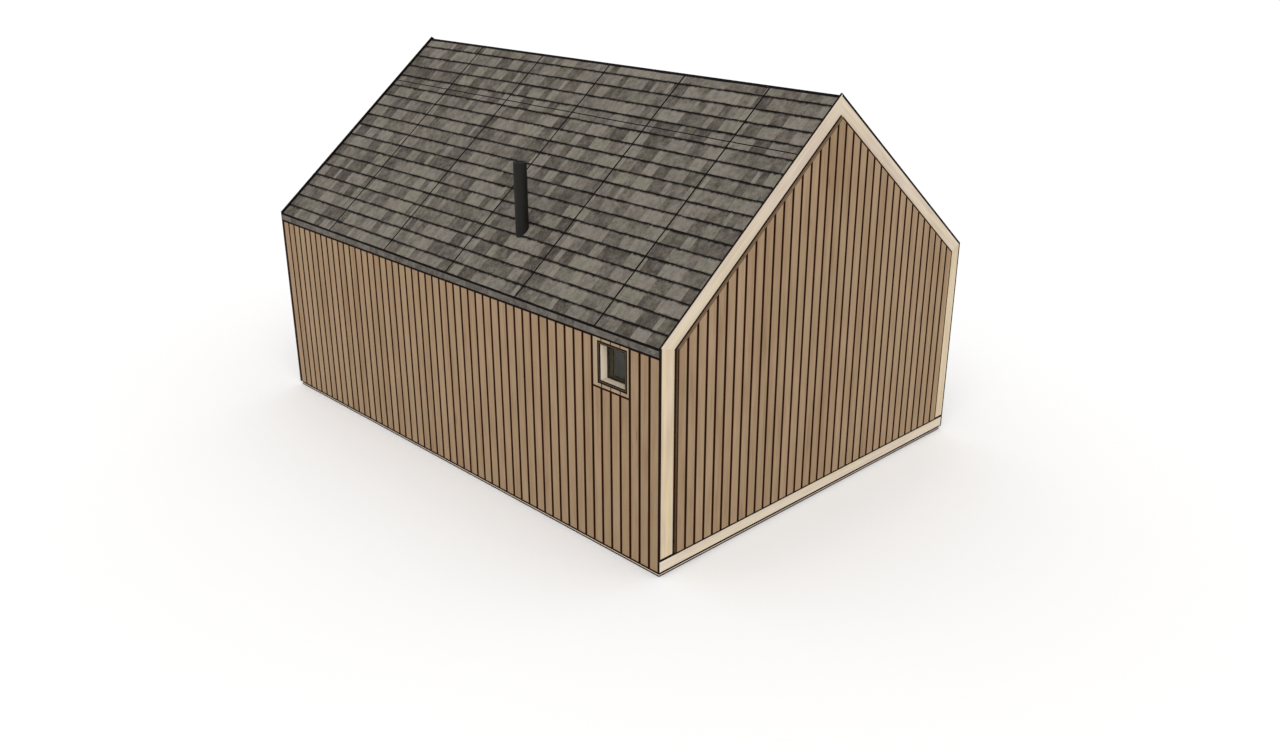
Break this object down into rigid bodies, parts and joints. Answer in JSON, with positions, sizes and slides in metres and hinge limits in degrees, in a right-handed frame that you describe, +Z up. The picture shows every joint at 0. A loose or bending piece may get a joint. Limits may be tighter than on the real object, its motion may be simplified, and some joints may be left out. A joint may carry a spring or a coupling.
{
  "type": "outdoor sauna",
  "caption": "Gabled timber sauna hut with vertical board walls, pale gable trim, a shingled roof, a small deep-set window and a round metal flue.",
  "frame": {"origin": "middle of the building's footprint, on the ground, under its sole plates", "axes": "+X along the ridge towards the right-hand gable, -Y towards the window wall, +Z up"},
  "size_m": [7.052, 5.06, 4.4618],
  "materials": {
    "sole_plate": "planed softwood, untreated",
    "wall_panel": "softwood lining boards and sheathing, matt",
    "cladding": "vertical softwood boards, matt brown stain",
    "battens": "dark stained battens",
    "trim": "pale planed boards, matt oil",
    "roof_panel": "roof boarding and lining",
    "shingles": "mineral granules on bitumen, rough",
    "window_glass": "dark grey tint",
    "flue_paint": "matt stove black",
    "flue_steel": "sooty steel"
  },
  "bodies": {
    "root": {"front_sole_plate": "sole_plate", "back_sole_plate": "sole_plate", "right_sole_plate": "sole_plate", "left_sole_plate": "sole_plate", "front_wall_left": "wall_panel", "front_wall_right": "wall_panel", "front_wall_below_window": "wall_panel", "front_wall_over_window": "wall_panel", "back_wall": "wall_panel", "right_gable_wall": "wall_panel", "left_gable_wall": "wall_panel", "front_cladding_left": "cladding", "front_cladding_right": "cladding", "front_cladding_below_window": "cladding", "back_cladding": "cladding", "right_gable_cladding": "cladding", "left_gable_cladding": "cladding", "right_gable_battens": "battens", "left_gable_battens": "battens", "window_casing": "cladding", "window_frame": "trim", "window_glass": "window_glass", "right_bottom_board": "trim", "right_front_corner_board": "trim", "right_back_corner_board": "trim", "right_front_rake_board": "trim", "right_back_rake_board": "trim", "left_bottom_board": "trim", "left_front_corner_board": "trim", "left_back_corner_board": "trim", "left_front_rake_board": "trim", "left_back_rake_board": "trim", "front_roof_panel": "roof_panel", "back_roof_panel": "roof_panel", "front_shingles": "shingles", "back_shingles": "shingles", "front_eave_strip": "shingles", "back_eave_strip": "shingles", "flue_pipe": "flue_paint", "flue_liner": "flue_steel", "door_frame_unit": "trim", "door_threshold": "trim", "door_leaf": "cladding", "door_handle": "trim"}
  },
  "joints": []
}
